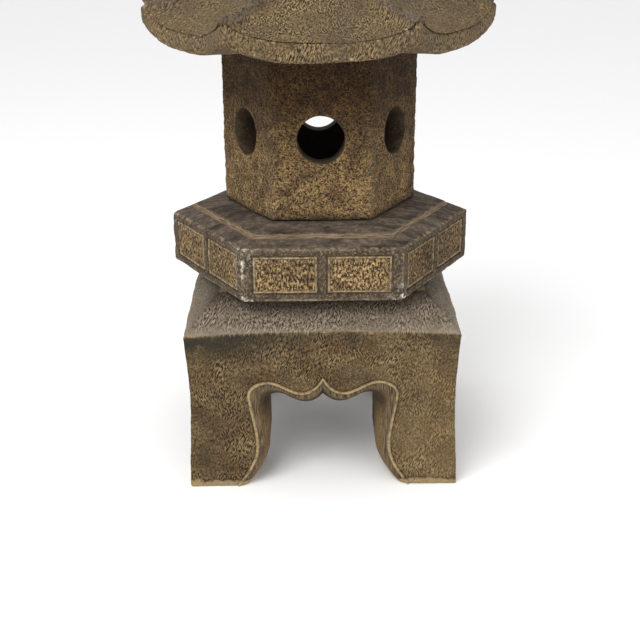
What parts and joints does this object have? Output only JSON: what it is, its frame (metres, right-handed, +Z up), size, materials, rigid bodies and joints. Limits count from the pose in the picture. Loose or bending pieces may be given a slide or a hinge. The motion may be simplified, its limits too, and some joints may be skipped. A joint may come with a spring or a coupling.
{
  "type": "stone lantern",
  "caption": "Stacked garden lantern of carved stone: square footed base, six-sided platform, pierced light chamber, curved roof and bud finial.",
  "frame": {"origin": "on the ground under the middle of the square base", "axes": "+Z up along the stack; the front faces -Y, square to a side of the base and to a window"},
  "size_m": [0.596, 0.5292, 1.076],
  "materials": {
    "base_stone": "tooled and weathered",
    "platform_stone": "tooled and weathered",
    "fire_box_stone": "tooled and weathered",
    "dish_glaze": "glazed stoneware",
    "roof_stone": "tooled and weathered",
    "finial_stone": "tooled and weathered"
  },
  "bodies": {
    "base": {"base": "base_stone"},
    "platform": {"platform": "platform_stone"},
    "fire_box": {"fire_box": "fire_box_stone"},
    "lamp_dish": {"lamp_dish": "dish_glaze"},
    "roof": {"roof": "roof_stone"},
    "finial": {"finial": "finial_stone"}
  },
  "joints": [
    {"name": "platform_lift", "type": "slide", "parent": "base", "child": "platform", "axis": [0, 0, 1], "range_m": [0, 0.15]},
    {"name": "fire_box_lift", "type": "slide", "parent": "platform", "child": "fire_box", "axis": [0, 0, 1], "range_m": [0, 0.25]},
    {"name": "dish_lift", "type": "slide", "parent": "platform", "child": "lamp_dish", "axis": [0, 0, 1], "range_m": [0, 0.15]},
    {"name": "roof_lift", "type": "slide", "parent": "fire_box", "child": "roof", "axis": [0, 0, 1], "range_m": [0, 0.2]},
    {"name": "finial_lift", "type": "slide", "parent": "roof", "child": "finial", "axis": [0, 0, 1], "range_m": [0, 0.15]}
  ]
}
